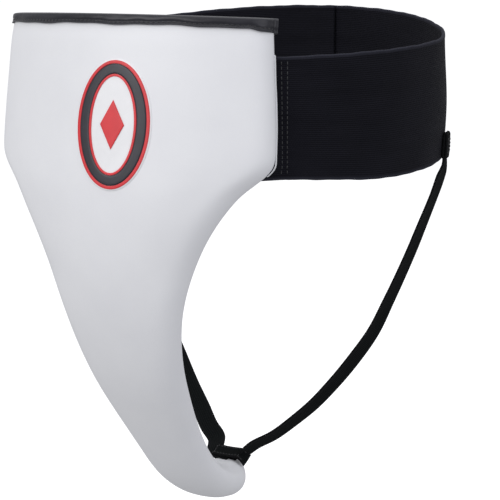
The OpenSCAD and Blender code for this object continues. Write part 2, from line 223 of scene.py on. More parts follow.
# The left half's end laps inside the right half's at the middle of the back
LAP_LEN = 12
LAP_STEP = 2.7
LAP_EASE = 14
# The visible elastic runs on from the seam axis into the panel's side
ROOT_START = -6
ROOT_END = 3
ROOT_ANGLE = -30
ROOT_DEPTH = 2.5


def belt_heading(u):
    """Heading in radians of the belt u mm past the seam axis."""
    side = math.radians(SEAM_HEADING) + u / SIDE_R
    rear = math.radians(REAR_HEADING) + (u - SIDE_LEN) / REAR_R
    return np.where(u < SIDE_LEN, side, rear)


def belt_plan(u, off):
    """Plan position u mm past the seam axis and off mm out from the elastic's middle."""
    h = belt_heading(u)[..., None]
    side = u[..., None] < SIDE_LEN
    centre = np.where(side, SIDE_CENTRE, REAR_CENTRE)
    r = np.where(side, SIDE_R, REAR_R) + np.asarray(off)[..., None]
    return centre + r * np.concatenate([np.sin(h), -np.cos(h)], -1)


def belt_top(u):
    return curve(BELT_LINE, belt_plan(np.maximum(u, 0), np.full(np.shape(u), -BELT_T / 2))[..., 1])


def belt_height(u):
    return BELT_END_H + (BELT_H - BELT_END_H) * smooth(u / TAPER_LEN)


ROOT_S = np.arange(8.0, 112.0, 2.0)
ROOT_POINTS = edge_point(ROOT_S, ROOT_ANGLE, -ROOT_DEPTH)


def belt_point(u, drop, off):
    """A point of the belt: u along it, drop below its top edge, off out from the elastic's middle."""
    u, drop, off = np.broadcast_arrays(np.asarray(u, float), np.asarray(drop, float), np.asarray(off, float))
    z = belt_top(u) - drop * belt_height(u) / BELT_H
    plan = belt_plan(u, off)
    end = belt_plan(np.full_like(u, ROOT_END), np.zeros_like(u))
    order = np.argsort(ROOT_POINTS[:, 2])
    root = np.stack([np.interp(z, ROOT_POINTS[order, 2], ROOT_POINTS[order, k]) for k in (0, 1)], -1)
    way = end - root
    out = np.stack([way[..., 1], -way[..., 0]], -1) / np.linalg.norm(way, axis=-1, keepdims=True)
    share = ((u - ROOT_START) / (ROOT_END - ROOT_START))[..., None]
    near = root + way * share + out * off[..., None]
    plan = np.where((u < ROOT_END)[..., None], near, plan)
    return np.concatenate([plan, z[..., None]], -1)


def spline(points, steps):
    """A Catmull-Rom curve through the points, with so many steps to a segment."""
    p = np.asarray(points, float)
    padded = np.concatenate([p[:1], p, p[-1:]])
    t = (np.arange(steps) / steps)[:, None]
    parts = []
    for k in range(len(p) - 1):
        a, b, c, d = padded[k : k + 4]
        bend = (2 * a - 5 * b + 4 * c - d) * t**2 + (3 * b - a - 3 * c + d) * t**3
        parts.append(0.5 * (2 * b + (c - a) * t + bend))
    return np.concatenate(parts + [p[-1:]])


def distances(line):
    """How far along a line each of its points is."""
    return np.concatenate([[0], np.cumsum(np.linalg.norm(np.diff(line, axis=0), axis=1))])


def along(values, far, at):
    """A line's values, one row for each distance in far, read at other distances."""
    return np.stack([np.interp(at, far, values[:, k]) for k in range(values.shape[1])], -1)


def unit(v):
    return v / np.linalg.norm(v, axis=-1, keepdims=True)


# ======== mesh makers ========


def link_mesh(name, points, faces):
    """A smooth-shaded object from points in millimetres."""
    mesh = bpy.data.meshes.new(name)
    mesh.from_pydata((points * MM).tolist(), [], [tuple(f) for f in faces])
    mesh.polygons.foreach_set("use_smooth", [True] * len(mesh.polygons))
    obj = bpy.data.objects.new(name, mesh)
    bpy.context.scene.collection.objects.link(obj)
    return obj


def face_outwards(mesh, weld=None):
    """Turns the faces outwards, after joining points closer than weld metres."""
    bm = bmesh.new()
    bm.from_mesh(mesh)
    if weld:
        bmesh.ops.remove_doubles(bm, verts=bm.verts, dist=weld)
    bmesh.ops.recalc_face_normals(bm, faces=bm.faces)
    bm.to_mesh(mesh)
    bm.free()


def finish_mesh(name, points, faces, facts=None):
    """A smooth-shaded object with its faces outwards. facts is kept as the attribute 'cloth'."""
    obj = link_mesh(name, points, faces.tolist())
    if facts is not None:
        cloth = obj.data.attributes.new("cloth", "FLOAT_VECTOR", "POINT")
        cloth.data.foreach_set("vector", np.asarray(facts, np.float32).ravel())
    face_outwards(obj.data)
    return obj


def grid_faces(ids):
    """Quads of a grid of vertex numbers."""
    return np.stack([ids[:-1, :-1], ids[:-1, 1:], ids[1:, 1:], ids[1:, :-1]], -1).reshape(-1, 4)


def stations(length, rim, step):
    """Sample positions along a length, close together near its two ends."""
    ends = rim * np.array([0, 0.06, 0.2, 0.45, 0.75, 1.0])
    count = max(2, round((length - 2 * rim) / step))
    middle = np.linspace(rim, length - rim, count + 1)[1:-1]
    return np.concatenate([ends, middle, length - ends[::-1]])


def pad(name, size, place, half_t, rim, step):
    """A closed sheet with rounded edges. place gives its points, and half_t is half its thickness."""
    length, width = size
    a, b = np.meshgrid(stations(length, rim, step[0]), stations(width, rim, step[1]), indexing="ij")
    edge = np.minimum(np.minimum(a, length - a), np.minimum(b, width - b))
    profile = np.sqrt(1 - (1 - np.clip(edge / rim, 0, 1)) ** 2)
    half = (half_t(a, b) if callable(half_t) else half_t) * profile
    front, back = place(a, b, half), place(a, b, -half)
    n, m = a.shape
    top = np.arange(n * m).reshape(n, m)
    low = top.copy()
    low[1:-1, 1:-1] = n * m + np.arange((n - 2) * (m - 2)).reshape(n - 2, m - 2)
    inner = (slice(1, -1), slice(1, -1))
    points = np.concatenate([front.reshape(-1, 3), back[inner].reshape(-1, 3)])
    facts = np.stack([a, b, np.minimum(b, width - b)], -1)
    facts = np.concatenate([facts.reshape(-1, 3), facts[inner].reshape(-1, 3)])
    faces = np.concatenate([grid_faces(top), grid_faces(low)[:, ::-1]])
    return finish_mesh(name, points, faces, facts)


def mirrored(place, side):
    """The same places on the other side of the middle plane where side is -1."""
    return lambda a, b, n: place(a, b, n) * np.array([side, 1, 1])


STITCH_SHARES = np.array([0, 0.12, 0.35, 0.65, 0.88, 1.0])
STITCH_LIFTS = np.array([-0.9, 0.25, 0.75, 0.75, 0.25, -0.9])
STITCH_FACETS = 6


def stitches(name, rows, pitch, length, radius):
    """Separate thread stitches along rows, each row a dense (points, ups) pair."""
    points, faces = [], []
    turn = np.arange(STITCH_FACETS) / STITCH_FACETS * 2 * math.pi
    for line, ups in rows:
        far = distances(line)
        for k in range(int((far[-1] - length) // pitch) + 1):
            at = k * pitch + STITCH_SHARES * length
            mid = along(line, far, at)
            up = unit(along(ups, far, at))
            way = unit(mid[-1] - mid[0])
            side = unit(np.cross(up, way))
            mid = mid + up * (STITCH_LIFTS * radius)[:, None]
            ring = radius * (np.cos(turn)[:, None, None] * side + 0.8 * np.sin(turn)[:, None, None] * up)
            loops = (mid + ring).transpose(1, 0, 2).reshape(-1, 3)
            base = sum(len(p) for p in points)
            ids = base + np.arange(len(loops)).reshape(len(mid), STITCH_FACETS)
            ids = np.concatenate([ids, ids[:, :1]], 1)
            points.append(loops)
            faces.extend(grid_faces(ids).tolist())
            faces.append(ids[0, :-1][::-1].tolist())
            faces.append(ids[-1, :-1].tolist())
    return link_mesh(name, np.concatenate(points), faces)


def row_on(place, a, b, n=0.0):
    """A stitch row on a place function: its points and the outward direction at each."""
    a, b = np.broadcast_arrays(np.asarray(a, float), np.asarray(b, float))
    line = place(a, b, np.full(a.shape, float(n)))
    return line, place(a, b, np.full(a.shape, float(n) + 1)) - line


# ======== materials ========


class Shader:
    """One material. Each method adds a node and gives its output."""

    def __init__(self, name):
        self.material = bpy.data.materials.new(name)
        self.material.use_nodes = True
        self.tree = self.material.node_tree
        self.bsdf = self.tree.nodes["Principled BSDF"]

    def node(self, kind, inputs, **settings):
        made = self.tree.nodes.new(kind)
        for key, value in settings.items():
            setattr(made, key, value)
        for key, value in inputs.items():
            self.put(made.inputs[key], value)
        return made

    def put(self, socket, value):
        if isinstance(value, bpy.types.NodeSocket):
            self.tree.links.new(value, socket)
        else:
            socket.default_value = value

    def math(self, operation, a, b=0.0, c=0.0):
        return self.node("ShaderNodeMath", {0: a, 1: b, 2: c}, operation=operation).outputs[0]

    def place(self):
        """The point's own place on the piece, in millimetres."""
        at = self.node("ShaderNodeTexCoord", {}).outputs["Object"]
        return self.node("ShaderNodeVectorMath", {0: at, "Scale": 1 / MM}, operation="SCALE").outputs[0]

    def cloth(self):
        """How far along, how far across and how far from the nearer long edge, in millimetres."""
        at = self.node("ShaderNodeAttribute", {}, attribute_name="cloth").outputs["Vector"]
        split = self.node("ShaderNodeSeparateXYZ", {0: at})
        return at, split.outputs[0], split.outputs[1], split.outputs[2]

    def stretch(self, vector, by):
        return self.node("ShaderNodeVectorMath", {0: vector, 1: by}, operation="MULTIPLY").outputs[0]

    def noise(self, vector, scale, detail=3.0, roughness=0.55):
        inputs = {"Vector": vector, "Scale": scale, "Detail": detail, "Roughness": roughness}
        return self.node("ShaderNodeTexNoise", inputs).outputs[0]

    def cells(self, vector, scale, feature="F1"):
        inputs = {"Vector": vector, "Scale": scale}
        return self.node("ShaderNodeTexVoronoi", inputs, feature=feature).outputs["Distance"]

    def ranged(self, value, low, high, to_low=0.0, to_high=1.0):
        inputs = {"Value": value, "From Min": low, "From Max": high, "To Min": to_low, "To Max": to_high}
        return self.node("ShaderNodeMapRange", inputs).outputs[0]

    def mix(self, share, a, b):
        made = self.node("ShaderNodeMix", {}, data_type="RGBA")
        self.put(made.inputs["Factor"], share)
        for socket, value in ((made.inputs[6], a), (made.inputs[7], b)):
            self.put(socket, value if isinstance(value, bpy.types.NodeSocket) else (*value, 1.0))
        return made.outputs[2]

    def bump(self, height, strength, distance_mm, under=None):
        inputs = {"Height": height, "Strength": strength, "Distance": distance_mm * MM}
        if under is not None:
            inputs["Normal"] = under
        return self.node("ShaderNodeBump", inputs).outputs[0]

    def ribs(self, position, pitch):
        """Rounded ribs from 0 to 1, one each pitch."""
        turn = self.math("MULTIPLY", position, math.pi / pitch)
        return self.math("ABSOLUTE", self.math("SINE", turn))

    def done(self, colour, roughness, normal, **constants):
        self.put(self.bsdf.inputs["Base Color"], colour)
        self.put(self.bsdf.inputs["Roughness"], roughness)
        self.put(self.bsdf.inputs["Normal"], normal)
        for key, value in constants.items():
            self.bsdf.inputs[key.replace("_", " ")].default_value = value
        return self.material


def leather(name, dark, light, roughness, grain_mm, grain, wear_and_highlight=None):
    """Coated leatherette: fine grain, faint creases and a slow change of tone. An optional lighter colour on
    convex edges and folds is rubbed wear together with a painted highlight.
    """
    sh = Shader(name)
    at = sh.place()
    slow = sh.noise(at, 0.022, 4.0)
    fine = sh.noise(at, 1.6 / grain_mm, 2.0)
    pores = sh.cells(at, 1 / grain_mm, "SMOOTH_F1")
    creases = sh.noise(sh.stretch(at, (1.0, 1.0, 0.35)), 0.16, 5.0, 0.62)
    tone = sh.math("ADD", sh.ranged(slow, 0.3, 0.7, 0.0, 0.75), sh.ranged(fine, 0.3, 0.7, 0.0, 0.25))
    colour = sh.mix(tone, dark, light)
    if wear_and_highlight is not None:
        # Convex edges and folds take the lighter colour: partly rubbed wear, partly a painted highlight.
        rubbed_and_lit = sh.ranged(sh.node("ShaderNodeNewGeometry", {}).outputs["Pointiness"], 0.52, 0.6)
        colour = sh.mix(sh.math("MULTIPLY", rubbed_and_lit, sh.ranged(fine, 0.35, 0.65)), colour, wear_and_highlight)
    under = sh.bump(sh.ranged(creases, 0.25, 0.75), 0.16, 0.5)
    normal = sh.bump(sh.math("ADD", pores, sh.math("MULTIPLY", fine, 0.6)), grain, 0.22, under)
    rough = sh.ranged(sh.math("ADD", slow, fine), 0.7, 1.3, roughness - 0.07, roughness + 0.07)
    return sh.done(colour, rough, normal, Specular_IOR_Level=0.42)


def woven(name, dark, light, pitch, cross_pitch, depth, sheen, hem_sheen=None, fuzz=0.35):
    """Ribbed narrow fabric: ribs run along it, and the cross threads step from rib to rib. A given hem
    colour lightens both long edges: the hem's fuzz with a painted sheen.
    """
    sh = Shader(name)
    at, along, across, edge = sh.cloth()
    rib = sh.ribs(across, pitch)
    row = sh.math("FLOOR", sh.math("DIVIDE", across, pitch))
    shifted = sh.math("ADD", along, sh.math("MULTIPLY", row, cross_pitch / 2))
    thread = sh.ribs(shifted, cross_pitch)
    weave = sh.math("ADD", sh.math("MULTIPLY", rib, 0.62), sh.math("MULTIPLY", thread, 0.38))
    hairs = sh.noise(sh.stretch(at, (1.0, 2.2, 1.0)), 1.9, 4.0, 0.7)
    patches = sh.noise(sh.stretch(at, (0.45, 1.0, 1.0)), 0.07, 4.0)
    height = sh.math("ADD", weave, sh.math("MULTIPLY", hairs, fuzz))
    tone = sh.math("MULTIPLY", sh.ranged(height, 0.35, 1.25), sh.ranged(patches, 0.25, 0.75, 0.55, 1.0))
    colour = sh.mix(tone, dark, light)
    if hem_sheen is not None:
        # Both long edges go lighter and bluer: the hem's fuzz, with a painted sheen on it.
        hem_fuzz_sheen = sh.math("MULTIPLY", sh.ranged(edge, 2.6, 0.4), sh.ranged(hairs, 0.35, 0.65, 0.35, 1.0))
        colour = sh.mix(hem_fuzz_sheen, colour, hem_sheen)
    gathers = sh.noise(sh.stretch(at, (0.3, 0.02, 1.0)), 1.0, 2.0)
    under = sh.bump(gathers, 0.25, 0.8)
    normal = sh.bump(height, 0.75, depth, under)
    rough = sh.ranged(hairs, 0.3, 0.7, 0.72, 0.95)
    return sh.done(colour, rough, normal, Sheen_Weight=sheen, Sheen_Roughness=0.45, Specular_IOR_Level=0.08)


def air_mesh(name):
    """Knitted spacer lining: a honeycomb of small open cells."""
    sh = Shader(name)
    at, along, across, edge = sh.cloth()
    cells = sh.cells(sh.stretch(at, (1.0, 1.15, 0.0)), 0.42)
    hairs = sh.noise(at, 2.4, 3.0)
    slow = sh.noise(at, 0.03, 3.0)
    tone = sh.math("MULTIPLY", sh.ranged(cells, 0.12, 0.5), sh.ranged(slow, 0.3, 0.7, 0.7, 1.0))
    colour = sh.mix(tone, (0.006, 0.006, 0.007), (0.034, 0.035, 0.04))
    height = sh.math("ADD", sh.ranged(cells, 0.1, 0.45), sh.math("MULTIPLY", hairs, 0.3))
    normal = sh.bump(height, 0.8, 0.5)
    return sh.done(colour, sh.ranged(hairs, 0.3, 0.7, 0.75, 0.95), normal, Sheen_Weight=0.25)


def pile(name, dark, light, scale, depth):
    """The loop side or the hook side of touch-and-close tape."""
    sh = Shader(name)
    at, along, across, edge = sh.cloth()
    tufts = sh.cells(at, scale)
    hairs = sh.noise(at, scale * 2.1, 5.0, 0.75)
    slow = sh.noise(at, 0.08, 3.0)
    height = sh.math("SUBTRACT", hairs, sh.math("MULTIPLY", tufts, 0.8))
    tone = sh.math("MULTIPLY", sh.ranged(height, -0.3, 0.6), sh.ranged(slow, 0.3, 0.7, 0.6, 1.0))
    normal = sh.bump(height, 0.9, depth)
    colour = sh.mix(tone, dark, light)
    return sh.done(colour, sh.ranged(hairs, 0.3, 0.7, 0.8, 1.0), normal, Sheen_Weight=0.35)


def rubber(name, dark, light):
    """The badge's moulded vinyl."""
    sh = Shader(name)
    at = sh.place()
    slow = sh.noise(at, 0.09, 3.0)
    fine = sh.noise(at, 3.2, 3.0)
    colour = sh.mix(sh.ranged(sh.math("ADD", slow, fine), 0.7, 1.3), dark, light)
    normal = sh.bump(fine, 0.12, 0.15)
    return sh.done(colour, sh.ranged(fine, 0.3, 0.7, 0.32, 0.46), normal, Specular_IOR_Level=0.5)


def foam(name, dark, light, cell_mm):
    """Closed-cell padding, inside the cover."""
    sh = Shader(name)
    at = sh.place()
    bubbles = sh.cells(at, 1 / cell_mm)
    slow = sh.noise(at, 0.05, 3.0)
    colour = sh.mix(sh.ranged(sh.math("ADD", bubbles, slow), 0.4, 1.1), dark, light)
    return sh.done(colour, sh.ranged(slow, 0.3, 0.7, 0.85, 0.97), sh.bump(bubbles, 0.6, 0.4))


def plastic(name):
    """The hard cup's moulded shell."""
    sh = Shader(name)
    at = sh.place()
    texture = sh.noise(at, 1.4, 4.0)
    flow = sh.noise(sh.stretch(at, (1.0, 1.0, 0.2)), 0.08, 3.0)
    colour = sh.mix(sh.ranged(flow, 0.3, 0.7), (0.6, 0.6, 0.57), (0.7, 0.7, 0.68))
    return sh.done(colour, sh.ranged(texture, 0.3, 0.7, 0.38, 0.5), sh.bump(texture, 0.2, 0.15))


def thread(name, dark, light):
    """Twisted sewing thread."""
    sh = Shader(name)
    at = sh.place()
    fibre = sh.noise(at, 4.5, 4.0)
    tone = sh.ranged(fibre, 0.3, 0.7)
    return sh.done(sh.mix(tone, dark, light), 0.55, sh.bump(fibre, 0.5, 0.12), Sheen_Weight=0.2)


WHITE_PU = leather("white_leatherette", (0.715, 0.72, 0.75), (0.76, 0.765, 0.79), 0.46, 0.75, 0.1)
# Its last colour is the lighter bluish tone on the binding's fold and edges: a painted highlight as well as
# rubbed wear.
BLACK_PU = leather(
    "black_leatherette", (0.005, 0.005, 0.009), (0.014, 0.014, 0.022), 0.36, 0.9, 0.3, (0.035, 0.037, 0.05)
)
# The last colour is the lighter, bluish hem along both long edges: fuzz with a painted sheen.
ELASTIC = woven(
    "wide_elastic", (0.0015, 0.0015, 0.003), (0.013, 0.013, 0.019), 1.3, 0.95, 0.32, 0.02,
    (0.035, 0.036, 0.05),
)
WEBBING = woven(
    "strap_elastic", (0.001, 0.0015, 0.0015), (0.008, 0.010, 0.011), 1.45, 1.1, 0.35, 0.015,
    (0.008, 0.008, 0.009),
)
LINING = air_mesh("lining_mesh")
HOOKS = pile("hook_tape", (0.006, 0.006, 0.007), (0.05, 0.05, 0.055), 0.9, 0.5)
LOOPS = pile("loop_tape", (0.004, 0.004, 0.005), (0.03, 0.03, 0.034), 1.5, 0.6)
RED = rubber("badge_red", (0.56, 0.012, 0.02), (0.68, 0.02, 0.03))
INK = rubber("badge_black", (0.008, 0.007, 0.014), (0.018, 0.016, 0.028))
PLATE = rubber("badge_white", (0.74, 0.74, 0.76), (0.8, 0.8, 0.82))
FOAM_PALE = foam("foam_front", (0.6, 0.56, 0.42), (0.75, 0.71, 0.55), 1.2)
FOAM_SOFT = foam("foam_soft", (0.5, 0.46, 0.3), (0.66, 0.6, 0.42), 0.8)
CUP_SHELL = plastic("cup_shell")
DARK_THREAD = thread("dark_thread", (0.003, 0.003, 0.004), (0.02, 0.02, 0.025))


def dress(obj, material, slot, body=None, *nodes):
    """Gives a piece its material and the body it rides on, and hides the CAD nodes it stands for. slot is
    not used.
    """
    obj.data.materials.clear()
    obj.data.materials.append(material)
    if body:
        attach(obj, body)
    if nodes:
        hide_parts(*nodes)
    return obj


def blend_ends(place, across, start, end):
    """Two points of a piece in metres, where its blend between two bodies starts and ends."""
    return [place(np.array(float(a)), np.array(across), np.array(0.0)) * MM for a in (start, end)]


# Stitch sizes, each (pitch, length, thread radius)
LINING_STITCH = (3.4, 2.4, 0.32)
BINDING_STITCH = (3.3, 2.3, 0.3)
SEAM_STITCH = (3.0, 2.1, 0.28)
BASE_STITCH = (3.0, 2.1, 0.3)
WEB_STITCH = (2.4, 1.7, 0.26)


def sew(name, rows, size, slot, body=None):
    """Dark stitches of one size along rows."""
    return dress(stitches(name, rows, *size), DARK_THREAD, slot, body)


# ======== the padded cover ========

FLAP_COLS = 6
FRONT_COLS = 46
SIDE_ANGLES = np.linspace(-90, 90, 25)
ROW_STEP = 3.0
TIP_ROWS = 24
SINK = 1.0
CLOTH_CAP = 1.5
CLOTH_FRAMES = 16
CLOTH_SETTINGS = {
    "quality": 6, "mass": 0.2, "tension_stiffness": 30, "compression_stiffness": 30, "shear_stiffness": 15,
    "bending_stiffness": 8, "pin_stiffness": 1, "use_pressure": True, "uniform_pressure_force": 300,
}
HOLD_LEVELS = 10
EASE_ROUNDS = 6
SKIN_T = 1.2
WELD = 1e-6


def cover_grid(sink):
    """The cover's outer face: rows down the panel, columns round it from one back edge to the other."""
    rows = np.arange(0, PANEL_LEN - TIP_LEN, ROW_STEP)
    turn = np.radians(np.linspace(0, 90, TIP_ROWS))
    s = np.concatenate([rows, PANEL_LEN - TIP_LEN + TIP_LEN * np.sin(turn)])
    scale = np.concatenate([np.ones(len(rows)), np.cos(turn)])
    s, scale = s[:, None], scale[:, None]
    f, e, t = flat_at(s) * scale, round_at(s) * scale, thick_at(s) * scale
    share = back_gap(s) + (1 - back_gap(s)) * np.linspace(0, 1, FLAP_COLS)[None, :-1]
    a = np.radians(SIDE_ANGLES)[None, :]
    inner = np.linspace(-1, 1, FRONT_COLS + 1)[None, 1:-1]
    sunk = t - sink * scale * smooth((s - 4) / 20)
    side_x, side_n = f + e * np.cos(a), np.where(a > 0, sunk, t) * np.sin(a)
    x = np.concatenate([-f * share, -side_x, f * inner, side_x[:, ::-1], (f * share)[:, ::-1]], 1)
    flap_n = -t * np.ones_like(share)
    front_n = sunk * np.ones_like(inner)
    n = np.concatenate([flap_n, side_n, front_n, side_n[:, ::-1], flap_n], 1)
    return surf(s * np.ones_like(x), x, n), n / HALF_T, s * np.ones_like(x)


def puff(obj, hold):
    """Where cloth simulation takes the cover: pressure fills the front, and what hold marks stays put."""
    rest = np.array([v.co for v in obj.data.vertices], float)
    group = obj.vertex_groups.new(name="held")
    for level in range(1, HOLD_LEVELS + 1):
        members = np.nonzero(np.ceil(hold * HOLD_LEVELS) == level)[0].tolist()
        group.add(members, level / HOLD_LEVELS, "REPLACE")
    cloth = obj.modifiers.new("puff", "CLOTH")
    cloth.settings.vertex_group_mass = "held"
    cloth.settings.effector_weights.gravity = 0
    for key, value in CLOTH_SETTINGS.items():
        setattr(cloth.settings, key, value)
    scene = bpy.context.scene
    for step in range(1, CLOTH_FRAMES + 1):
        scene.frame_set(step)
    shown = obj.evaluated_get(bpy.context.evaluated_depsgraph_get())
    moved = np.array([v.co for v in shown.data.vertices], float) - rest
    obj.modifiers.remove(cloth)
    obj.vertex_groups.remove(group)
    scene.frame_set(1)
    far = np.linalg.norm(moved, axis=1, keepdims=True)
    moved *= np.minimum(1, CLOTH_CAP * MM / np.maximum(far, 1e-9))
    return rest + moved


def eased(grid, rounds):
    """A grid of points smoothed along both ways, with its border kept."""
    for _ in range(rounds):
        mean = (grid[:-2, 1:-1] + grid[2:, 1:-1] + grid[1:-1, :-2] + grid[1:-1, 2:]) / 4
        grid[1:-1, 1:-1] += 0.5 * (mean - grid[1:-1, 1:-1])
    return grid


def over_foam(puffed, sunk, foam_top):
    """Lifts back to the foam any of the cover that the simulation left below it."""
    out = foam_top - sunk
    share = np.sum((puffed - sunk) * out, -1) / np.maximum(np.sum(out * out, -1), 1e-9)
    return puffed + out * np.maximum(0, 1 - share)[..., None]


def make_cover():
    grid, depth, s = cover_grid(SINK)
    n, m = depth.shape
    obj = finish_mesh("panel_cover", grid.reshape(-1, 3), grid_faces(np.arange(n * m).reshape(n, m)))
    hold = np.clip(1 - smooth((depth - 0.1) / 0.5), 0, 1)
    hold = np.maximum(hold, 1 - smooth((s - 3) / 14))
    hold = np.maximum(hold, smooth((s - PANEL_LEN + TIP_LEN + 6) / 12))
    puffed = puff(obj, hold.ravel()).reshape(n, m, 3) / MM
    plain = over_foam(puffed, grid, cover_grid(0)[0])
    plain[: n - TIP_ROWS] = eased(plain[: n - TIP_ROWS], EASE_ROUNDS)
    obj.data.vertices.foreach_set("co", (plain * MM).ravel().astype(np.float32))
    face_outwards(obj.data, WELD)
    obj.data.update()
    return obj


cover = make_cover()
cover_tree = BVHTree.FromObject(cover, bpy.context.evaluated_depsgraph_get())


RAY_REACH = 40


def over_cover(s, x, n):
    """A point n mm over the finished front face of the cover."""
    s, x, n = np.broadcast_arrays(np.asarray(s, float), np.asarray(x, float), np.asarray(n, float))
    low, high = surf(s, x, 0) * MM, surf(s, x, RAY_REACH) * MM
    made = np.zeros(low.shape)
    for i in np.ndindex(s.shape):
        down = Vector(low[i] - high[i]).normalized()
        hit = cover_tree.ray_cast(Vector(high[i]), down)[0]
        made[i] = (np.array(hit) if hit else low[i] + (high[i] - low[i]) * HALF_T / RAY_REACH) / MM
        made[i] -= np.array(down) * n[i]
    return made


thicken = cover.modifiers.new("skin", "SOLIDIFY")
thicken.thickness = SKIN_T * MM
thicken.offset = -1
dress(cover, WHITE_PU, "white_pu", "guard", "front_cover")

# ======== the lining on the back ========

LINING_FROM = 3
LINING_LEN = 341
LINING_SPAN = 50
LINING_T = 1.0
LINING_LAP = 2.2
LINING_INSET = 2.0


def lining_half(s):
    return flat_at(s) * np.maximum(back_gap(s), 0.0) + LINING_LAP


def lining_point(a, b, n):
    s = LINING_FROM + a
    share = b / LINING_SPAN - 1
    quilt = 0.5 * np.sin(math.pi * np.clip((s - LINING_FROM) / 20, 0, 1)) * (1 - share**2)
    return surf(s, share * lining_half(s), -(thick_at(s) + 0.25 + LINING_T / 2 + quilt) - n)


lining = pad("panel_lining", (LINING_LEN, 2 * LINING_SPAN), lining_point, LINING_T / 2, 1.2, (4, 3))
dress(lining, LINING, "lining", "guard", "back_lining")
lining_rows = np.linspace(LINING_FROM, LINING_FROM + LINING_LEN, 200)
lining_area = float(np.mean(2 * lining_half(lining_rows)) * LINING_LEN)
lining_width = float(2 * lining_half(lining_rows).max())
seam_a = np.linspace(4, LINING_LEN - 12, 400)
seam_share = 1 - LINING_INSET / lining_half(seam_a + LINING_FROM)
lining_seams = [
    row_on(lining_point, seam_a, LINING_SPAN * (1 + side * seam_share), LINING_T / 2) for side in (-1, 1)
]
sew("lining_stitches", lining_seams, LINING_STITCH, "lining", "guard")

# ======== the binding over the top edge ========

BINDING_FLAP = 5.2
BINDING_WRAP = 2 * BINDING_FLAP + math.pi * 2.2
BINDING_OVERHANG = 2.5
BINDING_T = 1.0
BINDING_CLEAR = 0.35
BINDING_END_DROP = 2.0
BINDING_END_CUT = 1.4
BINDING_SEAM = 1.7


def binding_point(a, b, n):
    """a runs across the panel, b round the fold from the front's lower edge to the back's."""
    x = a - TOP_HALF_W - BINDING_OVERHANG
    flap = BINDING_FLAP + BINDING_END_DROP * smooth((x - 86) / 9) - BINDING_END_CUT * smooth((-x - 96) / 8)
    flap = flap + 0.35 * np.sin(x / 9.5 + 0.6) + 0.2 * np.sin(x / 4.1)
    total = BINDING_WRAP
    along = b / total
    split = BINDING_FLAP / total
    q = np.clip((along - split) / (1 - 2 * split), 0, 1)
    front = np.clip(along / split, 0, 1)
    rear = np.clip((along - 1 + split) / split, 0, 1)
    s = flap * (1 - front) + flap * rear - 1.4 * np.sin(math.pi * q)
    side = np.cos(math.pi * q)
    edge = np.sqrt(1 - np.clip((np.abs(x) - flat_at(0)) / round_at(0), 0, 1) ** 2)
    half = np.maximum(thick_at(np.maximum(s, 0)) * edge, 1.3) + BINDING_CLEAR + BINDING_T / 2
    from_edge = np.where(q <= 0, flap * front, np.where(q >= 1, flap * (1 - rear), flap))
    pull = 0.26 + 0.12 * np.cos(2 * math.pi * x / BINDING_STITCH[0])
    dimple = np.exp(-(((from_edge - BINDING_SEAM) / 0.7) ** 2)) * pull
    curl = 0.45 * np.exp(-((from_edge / 0.8) ** 2))
    roll = 0.35 * np.sin(math.pi * np.clip((from_edge - 2.2) / 3.0, 0, 1))
    crush = 0.18 * np.sin(x / 2.7 + 3 * np.sin(x / 17)) * np.exp(-(((from_edge - 2.6) / 1.2) ** 2))
    puffed = half - dimple + curl + roll + crush
    lift = -n * np.sin(math.pi * q)
    return surf(s + lift, x, side * (puffed + n))


binding_size = (2 * (TOP_HALF_W + BINDING_OVERHANG), BINDING_WRAP)
binding = pad("binding_fold", binding_size, binding_point, BINDING_T / 2, 0.5, (0.8, 0.45))
dress(binding, BLACK_PU, "black_pu", "guard", "top_binding")
seam_x = np.linspace(2, binding_size[0] - 2, 500)
binding_rows = (BINDING_SEAM, BINDING_WRAP - BINDING_SEAM)
binding_seams = [row_on(binding_point, seam_x, b, BINDING_T / 2 - 0.05) for b in binding_rows]
sew("binding_stitches", binding_seams, BINDING_STITCH, "black_pu", "guard")

# ======== the waist belt ========

HEM_RISE = 0.28
BELT_WAVE = 0.3
BOW = 2.2
BOW_U = 150
BOW_SPREAD = 34
BOW_DROP = 46
BOW_DEPTH = 30
BLEND_END = 14
BELT_SEAMS = (7.5, 10.7)


def belt_bow(u, drop):
    """How far the slack elastic bows out at the wearer's side."""
    return BOW * np.exp(-(((u - BOW_U) / BOW_SPREAD) ** 2) - ((drop - BOW_DROP) / BOW_DEPTH) ** 2)


def belt_wave(u, drop):
    """Slow unevenness of the elastic, none where it is sewn."""
    free = smooth((u - 4) / 30) * smooth((BELT_LEN - u) / 40)
    slow = np.sin(u / 16.5 + 0.02 * drop) + 0.6 * np.sin(u / 7.3 + 1.7 + 0.05 * drop)
    return BELT_WAVE * free * slow * (0.4 + 0.6 * np.abs(drop / BELT_H - 0.5) * 2) + belt_bow(u, drop)


def belt_face(a, b, n):
    """The outline both halves share. Past BELT_LEN it runs inside the other half's end."""
    u = a + ROOT_START
    gather = 0.25 * np.sin(u * 1.3 + 0.3 * np.sin(b / 6)) * smooth((u - 1) / 4) * (1 - smooth((u - 6) / 14))
    edge_z = 0.12 * np.sin(u / 5.1) + 0.1 * np.sin(u / 2.3 + 1)
    drop = b + edge_z * (1 - smooth(b / 6)) - edge_z * smooth((b - BELT_H + 6) / 6)
    return belt_point(u, drop, n + belt_wave(u, b) + gather)


def lapped_face(a, b, n):
    """The left half's outline: its last stretch steps inwards and laps under the right half."""
    return belt_face(a, b, n - LAP_STEP * smooth((a + ROOT_START - BELT_LEN + LAP_EASE) / LAP_EASE))


def belt_half_t(a, b):
    edge = np.minimum(b, BELT_H - b)
    return BELT_T / 2 + HEM_RISE * np.exp(-(((edge - 1.8) / 1.3) ** 2))


